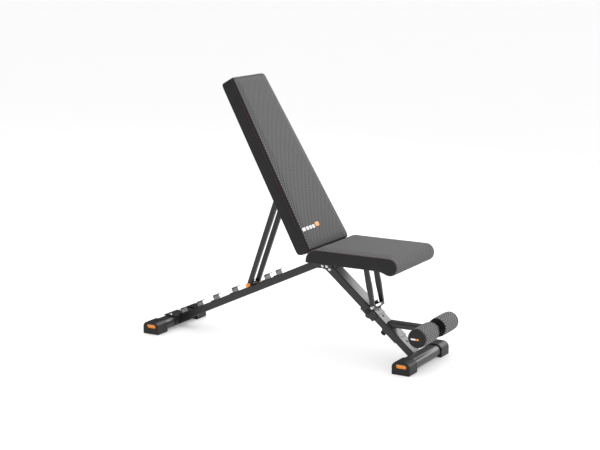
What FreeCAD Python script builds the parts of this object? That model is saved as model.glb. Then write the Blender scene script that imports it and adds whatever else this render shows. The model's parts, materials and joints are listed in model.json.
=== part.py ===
import FreeCAD, Part
import math
import os
import re
import Sketcher

# Decline sit up bench.
# +X points forward, towards the foot rollers, +Y to the user's left and +Z up.
# The origin is on the floor, in the middle of the bench's footprint.
# Lengths are in millimetres and angles in degrees.

SIZES = {
    # rail: the sloping spine, measured from a reference point on its top face
    "rail_angle": 25.1,
    "rail_ref_x": 140.0,
    "rail_ref_z": 374.0,
    "rail_width": 40.0,
    "rail_depth": 30.0,
    "rail_rear": 752.0,
    "rail_front": 30.0,
    "steel_wall": 2.0,
    "tube_corner": 3.0,
    # ladder hooks: distance of each wall down the rail from the reference point
    "hook_first": 744.0,
    "hook_second": 657.0,
    "hook_third": 569.0,
    "hook_fourth": 470.0,
    "hook_fifth": 383.2,
    "hook_sixth": 303.0,
    "hook_seventh": 245.0,
    "hook_height": 20.0,
    "hook_plate": 2.5,
    "hook_bend": 5.0,
    "hook_flange": 17.0,
    "hook_lip": 16.0,
    "prop_rod_down": 374.4,
    "prop_rod_radius": 6.0,
    # floor bases
    "rear_base_x": -581.0,
    "front_base_x": 531.0,
    "base_half": 172.0,
    "base_wide": 64.0,
    "base_high": 43.0,
    "base_lift": 3.0,
    "base_top_corner": 20.0,
    "cap_wide": 73.0,
    "cap_high": 50.0,
    "cap_long": 64.0,
    "cap_end_wall": 12.0,
    "cap_top_corner": 23.0,
    "cap_foot_corner": 4.0,
    "inlay_long": 44.0,
    "inlay_high": 15.6,
    "inlay_deep": 6.5,
    "inlay_rise": 31.0,
    # front leg: telescopic, its centre line measured from a point under the seat
    "leg_angle": 40.0,
    "leg_ref_x": 140.0,
    "leg_ref_z": 340.0,
    "leg_wide": 60.0,
    "leg_deep": 32.0,
    "leg_top": 8.0,
    "leg_mouth": 281.0,
    "slide_gap": 0.2,
    "inner_top": 150.0,
    "inner_end": 490.0,
    "hole_pitch": 44.0,
    "pin_down": 247.7,
    "pin_radius": 4.0,
    "leg_hole_radius": 4.6,
    "collar_start": 213.0,
    "collar_side": 4.0,
    "collar_floor": 5.0,
    # pivot bracket under the seat
    "cheek_plate": 4.0,
    "cheek_radius": 11.0,
    "hinge_x": 102.0,
    "hinge_z": 376.0,
    "hinge_radius": 6.0,
    "tie_x": 124.0,
    "tie_z": 333.7,
    "leg_bolt_first": 7.5,
    "leg_bolt_second": 23.5,
    "bolt_radius": 4.0,
    "bolt_gap": 0.08,
    "fork_depth": 38.5,
    # backrest, in its own frame: X up the pad, Z towards the rear
    "back_angle": 120.0,
    "back_corner_x": 145.4,
    "back_corner_z": 416.9,
    "back_long": 725.6,
    "back_wide_low": 320.0,
    "back_wide_high": 236.0,
    "back_thick": 60.0,
    "back_corner": 22.0,
    "board_thick": 12.0,
    "board_inset": 24.0,
    "back_tube_wide": 49.0,
    "back_tube_deep": 30.0,
    "back_tube_start": 60.0,
    "back_tube_end": 600.0,
    "prop_bolt_up": 276.0,
    "prop_bolt_radius": 5.0,
    "hinge_plate_start": -10.0,
    "hinge_plate_end": 130.0,
    # prop
    "prop_inner": 25.2,
    "prop_thick": 10.0,
    "prop_edge": 9.0,
    "prop_cap_radius": 6.8,
    "prop_cap_end": 52.0,
    # seat
    "seat_wide": 320.0,
    "seat_board_inset": 12.0,
    "seat_rear": 124.0,
    "seat_nose_x": 472.6,
    "seat_nose_z": 392.9,
    "seat_nose_radius": 34.0,
    "seat_top": 427.0,
    "seat_floor": 370.5,
    "seat_rear_corner": 46.0,
    "seat_tube_wide": 38.8,
    "seat_tube_deep": 24.0,
    "seat_tube_start": 150.0,
    "seat_tube_end": 420.0,
    "seat_bolt_x": 170.0,
    "seat_bolt_rise": 3.0,
    "bolt_head_radius": 6.7,
    "strut_top_x": 315.0,
    "strut_down": 248.0,
    "strut_rise": 28.0,
    "strut_inner": 33.0,
    "strut_thick": 10.0,
    "strut_rod_radius": 5.5,
    # foot holder and rollers
    "holder_start": 327.0,
    "holder_end": 399.0,
    "arm_wide": 40.0,
    "arm_deep": 20.0,
    "arm_z": 138.0,
    "arm_start": 399.0,
    "arm_end": 592.0,
    "roller_x": 581.0,
    "roller_z": 138.5,
    "bar_radius": 8.0,
    "bar_half": 142.6,
    "core_radius": 11.0,
    "foam_radius": 36.5,
    "disc_radius": 35.5,
    "roller_inner": 27.0,
    "roller_outer": 140.0,
    "disc_thick": 5.0,
}

DOC = FreeCAD.newDocument("DeclineBench")
SUB_PARTS = []


def fill_sheet():
    """Write every driving size into the spreadsheet under its own name."""
    sheet = DOC.addObject("Spreadsheet::Sheet", "Sizes")
    for row, (alias, value) in enumerate(SIZES.items(), start=1):
        sheet.set("A%d" % row, alias)
        sheet.set("B%d" % row, str(value))
        sheet.setAlias("B%d" % row, alias)
    DOC.recompute()
    return sheet


SHEET = fill_sheet()


def size(alias):
    """One driving size as a plain number."""
    return float(SHEET.get(alias))


def on_sheet(formula):
    """Turn the size names in a formula into spreadsheet references."""
    def reference(found):
        word = found.group(0)
        return "Sizes." + word if word in SIZES else word
    return re.sub(r"[a-z_]+", reference, str(formula))


def value(formula):
    """The number that a formula on the driving sizes gives now."""
    return float(SHEET.evalExpression(on_sheet(formula)))


def bind(item, **formulas):
    """Bind properties to formulas; a double underscore in a name is a dot."""
    for name, formula in formulas.items():
        item.setExpression(name.replace("__", "."), on_sheet(formula))


def tilted(x, z, angle):
    """A frame in the bench's side plane whose X axis rises at the given angle."""
    turn = FreeCAD.Rotation(FreeCAD.Vector(0, 1, 0), -angle)
    return FreeCAD.Placement(FreeCAD.Vector(x, 0, z), turn)


RAIL_FRAME = tilted(size("rail_ref_x"), size("rail_ref_z"), size("rail_angle"))
LEG_FRAME = tilted(size("leg_ref_x"), size("leg_ref_z"), -size("leg_angle"))
BACK_FRAME = tilted(size("back_corner_x"), size("back_corner_z"), size("back_angle"))


def local(frame, x, z):
    """Side-plane coordinates of a bench point in the given frame."""
    point = frame.inverse().multVec(FreeCAD.Vector(x, 0, z))
    return point.x, point.z


def world(frame, x, z):
    """Bench side-plane coordinates of a point of the given frame."""
    point = frame.multVec(FreeCAD.Vector(x, 0, z))
    return point.x, point.z


def keep(item, label, frame=None):
    """Name a finished sub-part and put it in its place."""
    if frame is not None:
        if item.TypeId != "Part::Cut" and item.TypeId != "Part::MultiFuse":
            item = group(item)
        item.Placement = frame
    item.Label = label
    SUB_PARTS.append(item)
    return item


def box(long, wide, high, x=0, y=0, z=0):
    """A block whose low corner is at x, y, z."""
    item = DOC.addObject("Part::Box", "Block")
    bind(item, Length=long, Width=wide, Height=high)
    bind(item, Placement__Base__x=x, Placement__Base__y=y, Placement__Base__z=z)
    return item


def rod_y(radius, start, end, x, z):
    """A round bar along Y between two distances."""
    item = DOC.addObject("Part::Cylinder", "Rod")
    item.Placement.Rotation = FreeCAD.Rotation(FreeCAD.Vector(1, 0, 0), -90)
    bind(item, Radius=radius, Height="(%s) - (%s)" % (end, start))
    bind(item, Placement__Base__x=x, Placement__Base__y=start, Placement__Base__z=z)
    return item


def rod_z(radius, start, end, x, y):
    """A round bar along Z between two heights."""
    item = DOC.addObject("Part::Cylinder", "Rod")
    bind(item, Radius=radius, Height="(%s) - (%s)" % (end, start))
    bind(item, Placement__Base__x=x, Placement__Base__y=y, Placement__Base__z=start)
    return item


def fuse(*items):
    """Join pieces that are one solid."""
    item = DOC.addObject("Part::MultiFuse", "Joined")
    item.Shapes = list(items)
    item.Refine = True
    return item


def cut(base, *tools):
    """Take the tools away from the base."""
    item = DOC.addObject("Part::Cut", "Cutout")
    item.Base = base
    item.Tool = tools[0] if len(tools) == 1 else fuse(*tools)
    return item


def group(*items):
    """Identical separate pieces that share one node."""
    item = DOC.addObject("Part::Compound", "Group")
    item.Links = list(items)
    return item


def solid(shape):
    """A piece whose outline has no matching primitive."""
    item = DOC.addObject("Part::Feature", "Plate")
    item.Shape = shape
    return item


def sketch_rectangle(sketch, wide, high):
    """A rectangle centred on the sketch's origin, its sides bound to the sheet."""
    corners = [(-1, -1), (1, -1), (1, 1), (-1, 1)]
    points = [FreeCAD.Vector(10 * a, 10 * b, 0) for a, b in corners]
    for index in range(4):
        sketch.addGeometry(Part.LineSegment(points[index], points[(index + 1) % 4]), False)
    for index in range(4):
        sketch.addConstraint(Sketcher.Constraint("Coincident", index, 2, (index + 1) % 4, 1))
    for index, kind in enumerate(["Horizontal", "Vertical", "Horizontal", "Vertical"]):
        sketch.addConstraint(Sketcher.Constraint(kind, index))
    sketch.addConstraint(Sketcher.Constraint("Symmetric", 0, 1, 2, 1, -1, 1))
    across = sketch.addConstraint(Sketcher.Constraint("DistanceX", 0, 1, 0, 2, 20.0))
    sketch.renameConstraint(across, "across")
    upward = sketch.addConstraint(Sketcher.Constraint("DistanceY", 1, 1, 1, 2, 20.0))
    sketch.renameConstraint(upward, "upward")
    bind(sketch, Constraints__across=wide, Constraints__upward=high)


def round_edges(body, radius, wanted):
    """Round the chosen edges of a body's latest feature."""
    base = body.Tip
    names = []
    for index, edge in enumerate(base.Shape.Edges, start=1):
        if wanted(edge):
            names.append("Edge%d" % index)
    fillet = body.newObject("PartDesign::Fillet", "Rounding")
    fillet.Base = (base, names)
    bind(fillet, Radius=radius)
    DOC.recompute()


def along_x(edge):
    """True for a straight edge that runs along X."""
    ends = [vertex.Point for vertex in edge.Vertexes]
    if len(ends) != 2:
        return False
    span = ends[1] - ends[0]
    return abs(span.y) < 1e-4 and abs(span.z) < 1e-4


def bar(wide, high, long, top_radius, foot_radius):
    """A bar along X from zero, centred on the axis, with rounded long edges."""
    body = DOC.addObject("PartDesign::Body", "Bar")
    sketch = body.newObject("Sketcher::SketchObject", "Section")
    plane = [item for item in body.Origin.OriginFeatures if item.Role == "YZ_Plane"][0]
    sketch.AttachmentSupport = [(plane, "")]
    sketch.MapMode = "FlatFace"
    sketch_rectangle(sketch, wide, high)
    DOC.recompute()
    pad = body.newObject("PartDesign::Pad", "Length")
    pad.Profile = sketch
    bind(pad, Length=long)
    DOC.recompute()
    round_edges(body, top_radius, lambda edge: along_x(edge) and edge.CenterOfMass.z > 0)
    round_edges(body, foot_radius, lambda edge: along_x(edge) and edge.CenterOfMass.z < -value(high) * 0.49)
    return body


def moved(item, x=0, y=0, z=0):
    """Bind where a piece starts."""
    bind(item, Placement__Base__x=x, Placement__Base__y=y, Placement__Base__z=z)
    return item


def tube(wide, high, start, end, z=0, corner="tube_corner"):
    """A rectangular steel tube along X between two distances."""
    long = "(%s) - (%s)" % (end, start)
    outer = moved(bar(wide, high, long, corner, corner), x=start, z=z)
    inside_wide = "(%s) - 2 * steel_wall" % wide
    inside_high = "(%s) - 2 * steel_wall" % high
    inner = bar(inside_wide, inside_high, long + " + 2", corner + " - steel_wall", corner + " - steel_wall")
    moved(inner, x="(%s) - 1" % start, z=z)
    return cut(outer, inner)


def tapered_link(circles, start, end):
    """A flat link: round ends of given centres and radii joined by straight flanks."""
    def slab(face_points):
        wire = Part.makePolygon(face_points + [face_points[0]])
        return Part.Face(wire).extrude(FreeCAD.Vector(0, end - start, 0))
    pieces = []
    axis = FreeCAD.Vector(0, 1, 0)
    for x, z, radius in circles:
        pieces.append(Part.makeCylinder(radius, end - start, FreeCAD.Vector(x, start, z), axis))
    for (xa, za, ra), (xb, zb, rb) in zip(circles, circles[1:]):
        heading = math.atan2(zb - za, xb - xa)
        spread = math.acos((ra - rb) / math.hypot(xb - xa, zb - za))
        corners = []
        for x, z, radius, turn in ((xa, za, ra, spread), (xb, zb, rb, spread),
                                   (xb, zb, rb, -spread), (xa, za, ra, -spread)):
            corners.append(FreeCAD.Vector(x + radius * math.cos(heading + turn), start,
                                          z + radius * math.sin(heading + turn)))
        pieces.append(slab(corners))
    return pieces[0].fuse(pieces[1:]).removeSplitter()


def lobed_plate(points, radius, start, end):
    """A flat plate whose outline keeps a given distance around its corner points."""
    corners = [FreeCAD.Vector(x, start, z) for x, z in points]
    face = Part.Face(Part.makePolygon(corners + [corners[0]]))
    outline = face.makeOffset2D(radius)
    return outline.extrude(FreeCAD.Vector(0, end - start, 0))


def flat_plate(points, start, end):
    """A flat plate with straight edges between its corner points."""
    corners = [FreeCAD.Vector(x, start, z) for x, z in points]
    face = Part.Face(Part.makePolygon(corners + [corners[0]]))
    return face.extrude(FreeCAD.Vector(0, end - start, 0))


def side_span(side, inner, outer):
    """Y limits of a plate between two distances from the middle plane."""
    return (inner, outer) if side > 0 else (-outer, -inner)


def wedge_slab(start, end, wide_start, wide_end, low, high):
    """A slab along X whose width changes evenly from its start to its end."""
    wedge = DOC.addObject("Part::Wedge", "Wedge")
    wedge.Placement.Rotation = FreeCAD.Rotation(FreeCAD.Vector(0, 0, 1), -90)
    bind(wedge, Ymin=start, Ymax=end, Zmin=low, Zmax=high, Z2min=low, Z2max=high)
    bind(wedge, Xmin="-(%s) / 2" % wide_start, Xmax="(%s) / 2" % wide_start)
    bind(wedge, X2min="-(%s) / 2" % wide_end, X2max="(%s) / 2" % wide_end)
    return wedge


def shared(*items):
    """The space that all the given items fill."""
    item = DOC.addObject("Part::MultiCommon", "Shared")
    item.Shapes = list(items)
    return item


def drilled(item, *holes):
    """Drill round holes along Y; each hole is (radius, x, z)."""
    drills = [rod_y(radius, -80, 80, x, z) for radius, x, z in holes]
    return cut(item, *drills)


def dome_head(radius, rise, x, z, face):
    """A button head that stands off a side face at y = face on the right side."""
    rim = rod_y(radius, "(%s) - %s" % (face, rise * 0.5), face, x, z)
    crown = DOC.addObject("Part::Cone", "Crown")
    crown.Placement.Rotation = FreeCAD.Rotation(FreeCAD.Vector(1, 0, 0), 90)
    bind(crown, Radius1=radius, Radius2="(%s) * 0.55" % radius, Height=rise * 0.5)
    moved(crown, x=x, y="(%s) - %s" % (face, rise * 0.5), z=z)
    return rim, crown


def side_bolt(radius, head_radius, x, z, reach):
    """A bolt across the bench: domed head on the right, shank through to the left."""
    shank = rod_y(radius, "-(%s) - 1" % reach, "(%s) + 9" % reach, x, z)
    rim, crown = dome_head(head_radius, 6, x, z, "-(%s)" % reach)
    return fuse(shank, rim, crown)


def side_nut(radius, across, x, z, reach):
    """The hexagonal nut on a side bolt's left end."""
    hexagon = DOC.addObject("Part::Prism", "Hexagon")
    hexagon.Polygon = 6
    hexagon.Placement.Rotation = FreeCAD.Rotation(FreeCAD.Vector(1, 0, 0), -90)
    bind(hexagon, Circumradius=across, Height=6.5)
    moved(hexagon, x=x, y=reach, z=z)
    return cut(hexagon, rod_y(radius, -10, 90, x, z))


def ring_y(outer, inner, start, end, x, z):
    """A tube or washer along Y."""
    return cut(rod_y(outer, start, end, x, z), rod_y(inner, "(%s) - 1" % start, "(%s) + 1" % end, x, z))


def base_tube(label, centre, bolt_spread):
    """The floor tube of one base, drilled through its top wall where bolts go in."""
    half = "base_half - cap_end_wall"
    profile = tube("base_wide", "base_high", "-(%s)" % half, half, corner="base_top_corner")
    for spread in bolt_spread:
        profile = cut(profile, rod_z("bolt_radius + bolt_gap", 0, 60, spread, 0))
    turn = FreeCAD.Rotation(FreeCAD.Vector(0, 0, 1), 90)
    height = size("base_lift") + size("base_high") / 2
    return keep(profile, label, FreeCAD.Placement(FreeCAD.Vector(centre, 0, height), turn))


def oblong(long, high, deep, start, rise):
    """A round-ended block standing on the plane x = start, long side across, centred at z = rise."""
    middle = box(deep, "(%s) - (%s)" % (long, high), high, x=start,
                 y="-((%s) - (%s)) / 2" % (long, high), z="(%s) - (%s) / 2" % (rise, high))
    ends = []
    for side in (-1, 1):
        end = DOC.addObject("Part::Cylinder", "End")
        end.Placement.Rotation = FreeCAD.Rotation(FreeCAD.Vector(0, 1, 0), 90)
        bind(end, Radius="(%s) / 2" % high, Height=deep)
        moved(end, x=start, y="%d * ((%s) - (%s)) / 2" % (side, long, high), z=rise)
        ends.append(end)
    return fuse(middle, *ends)


def end_cap():
    """One end cap, open towards the middle, in the base tube's own direction."""
    outer = bar("cap_wide", "cap_high", "cap_long", "cap_top_corner", "cap_foot_corner")
    moved(outer, x="base_half - cap_long")
    pocket = bar("base_wide + 0.2", "base_high + 0.2", "cap_long - cap_end_wall + 1",
                 "base_top_corner", "base_top_corner")
    moved(pocket, x="base_half - cap_long - 1", z="base_lift + base_high / 2 - cap_high / 2")
    recess = oblong("inlay_long + 0.4", "inlay_high + 0.4", "inlay_deep + 2", "base_half - inlay_deep",
                    "inlay_rise - cap_high / 2")
    return cut(outer, pocket, recess)


def turned_pair(make, z):
    """Two copies of a piece made for the +Y end, one turned to each end."""
    pair = []
    for angle in (90, -90):
        piece = make()
        piece.Placement = FreeCAD.Placement(FreeCAD.Vector(0, 0, z),
                                            FreeCAD.Rotation(FreeCAD.Vector(0, 0, 1), angle))
        pair.append(piece)
    return group(*pair)


def make_base(prefix, centre, bolt_spread=()):
    """A floor base: tube, two end caps and their coloured inlays."""
    base_tube(prefix + "_base_tube", centre, bolt_spread)
    spot = FreeCAD.Placement(FreeCAD.Vector(centre, 0, 0), FreeCAD.Rotation())
    height = size("cap_high") / 2
    keep(turned_pair(end_cap, height), prefix + "_end_caps", spot)

    def inlay():
        return oblong("inlay_long", "inlay_high", 1.5, "base_half - inlay_deep", "inlay_rise - cap_high / 2")
    keep(turned_pair(inlay, height), prefix + "_cap_inlays", spot)


def make_hook(start):
    """One hook: a flange welded to the rail, a wall and a lip over the prop's rod."""
    half = "rail_width / 2"
    bend_x = start + " + hook_bend"
    bend_z = "hook_height - hook_bend"
    flange = box("hook_flange + 0.5", "rail_width", "hook_plate", x=start + " - hook_flange", y="-" + half)
    wall = box("hook_plate", "rail_width", "hook_height - hook_bend", x=start, y="-" + half)
    lip = box("hook_lip - hook_bend", "rail_width", "hook_plate", x=bend_x, y="-" + half,
              z="hook_height - hook_plate")
    ring = ring_y("hook_bend", "hook_bend - hook_plate", "-" + half, half, bend_x, bend_z)
    below = box(20, "rail_width + 4", 10, x=start + " - 5", y="-rail_width / 2 - 2", z=bend_z + " - 10")
    beside = box(10, "rail_width + 4", 20, x=bend_x, y="-rail_width / 2 - 2", z=bend_z + " - 10")
    return fuse(flange, wall, lip, cut(ring, below, beside))


def make_rail():
    """The spine tube with its seven hooks and the plug in its lower end."""
    spine = tube("rail_width", "rail_depth", "-rail_rear", "-rail_front", z="-rail_depth / 2")
    tie_along, tie_up = local(RAIL_FRAME, size("tie_x"), size("tie_z"))
    keep(cut(spine, rod_y(7.5, -30, 30, tie_along, tie_up)), "main_rail", RAIL_FRAME)
    names = ("first", "second", "third", "fourth", "fifth", "sixth", "seventh")
    hooks = [make_hook("-hook_" + name) for name in names]
    keep(group(*hooks), "ladder_hooks", RAIL_FRAME)
    stopper = bar("rail_width", "rail_depth", 4, "tube_corner", "tube_corner")
    moved(stopper, x="-rail_rear - 4", z="-rail_depth / 2")
    stem = bar("rail_width - 4.2", "rail_depth - 4.2", 18, 0.9, 0.9)
    moved(stem, x="-rail_rear", z="-rail_depth / 2")
    keep(fuse(stopper, stem), "rail_end_plug", RAIL_FRAME)
    rest = rod_y("prop_rod_radius", -20.2, 20.2, "-prop_rod_down", "prop_rod_radius")
    keep(rest, "prop_rod_middle", RAIL_FRAME)


def make_saddle():
    """The folded plate that ties the rail to the rear base, and its two bolts."""
    centre = size("rear_base_x")
    top = size("base_lift") + size("base_high")
    plate = box(55, 90, 3.5, x="rear_base_x - 24", y=-45, z="base_lift + base_high")
    skirt = box(3.5, 90, "base_high - 6", x="rear_base_x + base_wide / 2 + 0.2", y=-45, z=12.5)
    gussets = []
    front = centre + size("base_wide") / 2 + 0.2
    for side in (-1, 1):
        low, high = side_span(side, size("rail_width") / 2, size("rail_width") / 2 + 4)
        outline = [(front, 12), (front, top), (front + 58, top + 14), (front + 68, 46)]
        gussets.append(solid(flat_plate(outline, low, high)))
    step = box(8, 90, 3.5, x="rear_base_x + 26", y=-45, z="base_lift + base_high")
    body = fuse(plate, step, skirt, *gussets)
    rail_room = bar("rail_width", "rail_depth + 0.2", "rail_rear - rail_front + 8", "tube_corner", "tube_corner")
    rail_room.Placement = RAIL_FRAME.multiply(FreeCAD.Placement(
        FreeCAD.Vector(-size("rail_rear") - 4.2, 0, -size("rail_depth") / 2), FreeCAD.Rotation()))
    holes = [rod_z("bolt_radius + bolt_gap", 30, 70, "rear_base_x", side * 35) for side in (-1, 1)]
    keep(cut(body, rail_room, *holes), "rear_saddle")
    bolts = []
    for side in (-1, 1):
        head = rod_z(7, "base_lift + base_high + 3.5", "base_lift + base_high + 6", "rear_base_x", side * 35)
        crown = DOC.addObject("Part::Cone", "Crown")
        bind(crown, Radius1=7, Radius2=4, Height=2.5)
        moved(crown, x="rear_base_x", y=side * 35, z="base_lift + base_high + 6")
        shank = rod_z("bolt_radius", 34, "base_lift + base_high + 4", "rear_base_x", side * 35)
        bolts.append(fuse(head, crown, shank))
    keep(group(*bolts), "saddle_bolts")


def leg_bolt_points():
    """Bench positions of the two bolts that hold the leg's upper end."""
    return [world(LEG_FRAME, size(name), 0) for name in ("leg_bolt_first", "leg_bolt_second")]


def make_pivot_bracket():
    """Two cheeks beside the rail that carry the leg, the seat and the backrest hinge."""
    seat_z = seat_bolt_z()
    first, second = leg_bolt_points()
    outline = [(size("hinge_x"), size("hinge_z")), (size("seat_bolt_x"), seat_z), second,
               (size("tie_x"), size("tie_z")), (84.0, 332.0)]
    holes = [("hinge_radius + bolt_gap", size("hinge_x"), size("hinge_z")),
             ("bolt_radius + bolt_gap", size("seat_bolt_x"), seat_z),
             ("bolt_radius + bolt_gap",) + first,
             ("bolt_radius + bolt_gap",) + second,
             ("bolt_radius + bolt_gap", size("tie_x"), size("tie_z"))]
    inner = size("rail_width") / 2
    cheeks = []
    for side in (-1, 1):
        low, high = side_span(side, inner, inner + size("cheek_plate"))
        cheek = solid(lobed_plate(outline, size("cheek_radius"), low, high))
        seat_room = box(90, 12, 30, x="seat_rear - 1.5", y=low - 4, z="seat_floor - 0.6")
        cheeks.append(drilled(cut(cheek, seat_room), *holes))
    keep(group(*cheeks), "bracket_cheeks")
    keep(ring_y(9, "hinge_radius + bolt_gap", "-rail_width / 2", "rail_width / 2", "hinge_x", "hinge_z"),
         "hinge_sleeve")
    reach = "back_tube_wide / 2 + cheek_plate"
    keep(side_bolt("hinge_radius", 10, "hinge_x", "hinge_z", reach), "backrest_hinge_bolt")
    keep(side_nut("hinge_radius", 10.5, "hinge_x", "hinge_z", reach), "backrest_hinge_nut")


def bolt_stations():
    """Every plain bolt through the frame: its place in the side plane and its reach."""
    first, second = leg_bolt_points()
    bracket = "rail_width / 2 + cheek_plate"
    return [(size("tie_x"), size("tie_z"), bracket),
            (size("seat_bolt_x"), seat_bolt_z(), bracket),
            first + ("leg_wide / 2",),
            second + ("leg_wide / 2",),
            (size("strut_top_x"), seat_tube_z(), "strut_inner + strut_thick")]


def make_frame_bolts():
    """The plain bolts and nuts of the frame."""
    bolts = []
    nuts = []
    for x, z, reach in bolt_stations():
        bolts.append(side_bolt("bolt_radius", "bolt_head_radius", x, z, reach))
        nuts.append(side_nut("bolt_radius", 7.5, x, z, reach))
    keep(group(*bolts), "frame_bolts")
    keep(group(*nuts), "frame_nuts")


def make_spacers():
    """Sleeves on the frame's bolts that keep plates and tubes apart."""
    first, second = leg_bolt_points()
    rail_half = "rail_width / 2"
    clearance = "bolt_radius + bolt_gap"
    sleeves = [ring_y(7, clearance, "-" + rail_half, rail_half, "tie_x", "tie_z")]
    for side in (-1, 1):
        low, high = side_span(side, value("rail_width / 2 + cheek_plate"), value("leg_wide / 2 - steel_wall"))
        sleeves.append(ring_y(7.5, clearance, low, high, first[0], first[1]))
        sleeves.append(ring_y(7.5, clearance, low, high, second[0], second[1]))
        low, high = side_span(side, value("seat_tube_wide / 2"), size("strut_inner"))
        sleeves.append(ring_y(7, clearance, low, high, "strut_top_x", seat_tube_z()))
        low, high = side_span(side, 28, size("strut_inner"))
        foot = world(LEG_FRAME, size("strut_down"), size("strut_rise"))
        sleeves.append(ring_y(8, "strut_rod_radius + bolt_gap", low, high, foot[0], foot[1]))
    keep(group(*sleeves), "spacer_sleeves")


def make_upper_leg():
    """The fixed upper half of the front leg with its fork, collar and bolts."""
    shell = tube("leg_wide", "leg_deep", "-leg_top", "leg_mouth")
    slot = box("fork_depth + 20", 49.2, 60, x="-20", y=-24.6, z=-30)
    bolt_holes = [rod_y("bolt_radius + bolt_gap", -60, 60, name, 0)
                  for name in ("leg_bolt_first", "leg_bolt_second")]
    pin_hole = rod_z("pin_radius + 0.3", -40, 0, "pin_down", 0)
    screw_hole = rod_z(3.2, 0, 40, "leg_mouth - 17", 0)
    tie_along, tie_up = local(LEG_FRAME, size("tie_x"), size("tie_z"))
    notch = rod_y(9, -60, 60, tie_along, tie_up)
    side_holes = rod_y(5, -60, 60, "pin_down - 4", -3)
    keep(cut(shell, slot, notch, pin_hole, screw_hole, side_holes, *bolt_holes), "upper_leg", LEG_FRAME)


def make_collar():
    """The U-shaped collar around the leg's mouth and the round studs in its sides."""
    outer = bar("leg_wide + 2 * collar_side", "leg_deep + collar_floor - 3", "leg_mouth - collar_start", 1, 4)
    moved(outer, x="collar_start", z="-collar_floor / 2 - 1.5")
    room = box("leg_mouth - collar_start + 2", "leg_wide", "leg_deep + 20", x="collar_start - 1",
               y="-leg_wide / 2", z="-leg_deep / 2")
    pin_hole = rod_z("pin_radius + 0.3", -40, 0, "pin_down", 0)
    side_holes = rod_y(5, -60, 60, "pin_down - 4", -3)
    keep(cut(outer, room, pin_hole, side_holes), "leg_collar", LEG_FRAME)
    studs = []
    for side in (-1, 1):
        shank_low, shank_high = side_span(side, 28.2, 36)
        head_low, head_high = side_span(side, 34, 38)
        studs.append(fuse(rod_y(5, shank_low, shank_high, "pin_down - 4", -3),
                          rod_y(9.5, head_low, head_high, "pin_down - 4", -3)))
    keep(group(*studs), "collar_studs", LEG_FRAME)


def make_pull_pin(prefix, along, face, stem, frame):
    """A pull pin under a tube: housing of a given length, pin and knob."""
    top = "-(%s)" % face
    low = "-(%s) - %s" % (face, stem)
    shell = rod_z(9, low, top, along, 0)
    bore = rod_z(6.6, "%s + 1.8" % low, "%s + 1" % top, along, 0)
    eye = rod_z("pin_radius + bolt_gap", "%s - 1" % low, top, along, 0)
    keep(cut(shell, bore, eye), prefix + "_pin_housing", frame)
    keep(rod_z("pin_radius", "%s - 8" % low, -14.3, along, 0), prefix + "_pull_pin", frame)
    grip = rod_z(11, "%s - 12" % low, "%s - 3" % low, along, 0)
    neck = rod_z(7, "%s - 4" % low, "%s - 0.5" % low, along, 0)
    waist = DOC.addObject("Part::Torus", "Waist")
    bind(waist, Radius1=12.2, Radius2=2.6)
    moved(waist, x=along, z="%s - 7.5" % low)
    bore_low = rod_z("pin_radius", "%s - 8" % low, "%s + 1" % low, along, 0)
    keep(cut(fuse(grip, neck), waist, bore_low), prefix + "_pin_knob", frame)


def make_lower_leg():
    """The sliding lower half of the leg; its foot is cut to sit on the front base."""
    inside = "2 * steel_wall + 2 * slide_gap"
    shell = tube("leg_wide - (%s)" % inside, "leg_deep - (%s)" % inside, "inner_top", "inner_end")
    holes = []
    for step in (-1, 0, 1, 2, 3, 4):
        holes.append(rod_z("leg_hole_radius", -40, 40, "pin_down + %d * hole_pitch" % step, 0))
    base = bar("base_wide", "base_high", "2 * base_half", "base_top_corner", "base_top_corner")
    turn = FreeCAD.Rotation(FreeCAD.Vector(0, 0, 1), 90)
    height = size("base_lift") + size("base_high") / 2
    spot = FreeCAD.Placement(FreeCAD.Vector(size("front_base_x"), -size("base_half"), height), turn)
    base.Placement = LEG_FRAME.inverse().multiply(spot)
    keep(cut(shell, base, *holes), "lower_leg", LEG_FRAME)


def make_strut_bracket():
    """Two ears on a web that hold the lower ends of the seat struts on the leg."""
    web = box(3, 56, 15, x="strut_down - 19", y=-28, z="leg_deep / 2")
    floor = box(30, 56, 3, x="strut_down - 19", y=-28, z="leg_deep / 2")
    ears = []
    for side in (-1, 1):
        low, high = side_span(side, 24, 28)
        outline = [(size("strut_down"), size("strut_rise"), 8.0),
                   (size("strut_down"), size("leg_deep") / 2 + 8.0, 8.0)]
        ears.append(solid(tapered_link(outline, low, high)))
        ears.append(box(19, 4, 10, x="strut_down - 19", y=low, z="leg_deep / 2"))
    body = fuse(web, floor, *ears)
    keep(drilled(body, ("strut_rod_radius + bolt_gap", "strut_down", "strut_rise")), "strut_bracket", LEG_FRAME)
    reach = size("strut_inner") + size("strut_thick")
    pieces = [rod_y("strut_rod_radius", -reach - 4, reach + 4, "strut_down", "strut_rise")]
    for side in (-1, 1):
        low, high = side_span(side, reach + 0.2, reach + 5)
        pieces.append(rod_y(7, low, high, "strut_down", "strut_rise"))
        crown = DOC.addObject("Part::Cone", "Crown")
        crown.Placement.Rotation = FreeCAD.Rotation(FreeCAD.Vector(1, 0, 0), -90 * side)
        bind(crown, Radius1=7, Radius2=4, Height=2.5)
        pieces.append(moved(crown, x="strut_down", y=side * (reach + 5), z="strut_rise"))
    keep(fuse(*pieces), "strut_rod", LEG_FRAME)


def seat_tube_z():
    """Height of the seat tube's centre line."""
    return size("seat_floor") - 0.5 - size("seat_tube_deep") / 2


def seat_bolt_z():
    """Height of the bolt that ties the seat tube to the pivot bracket."""
    return seat_tube_z() + size("seat_bolt_rise")


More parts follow.
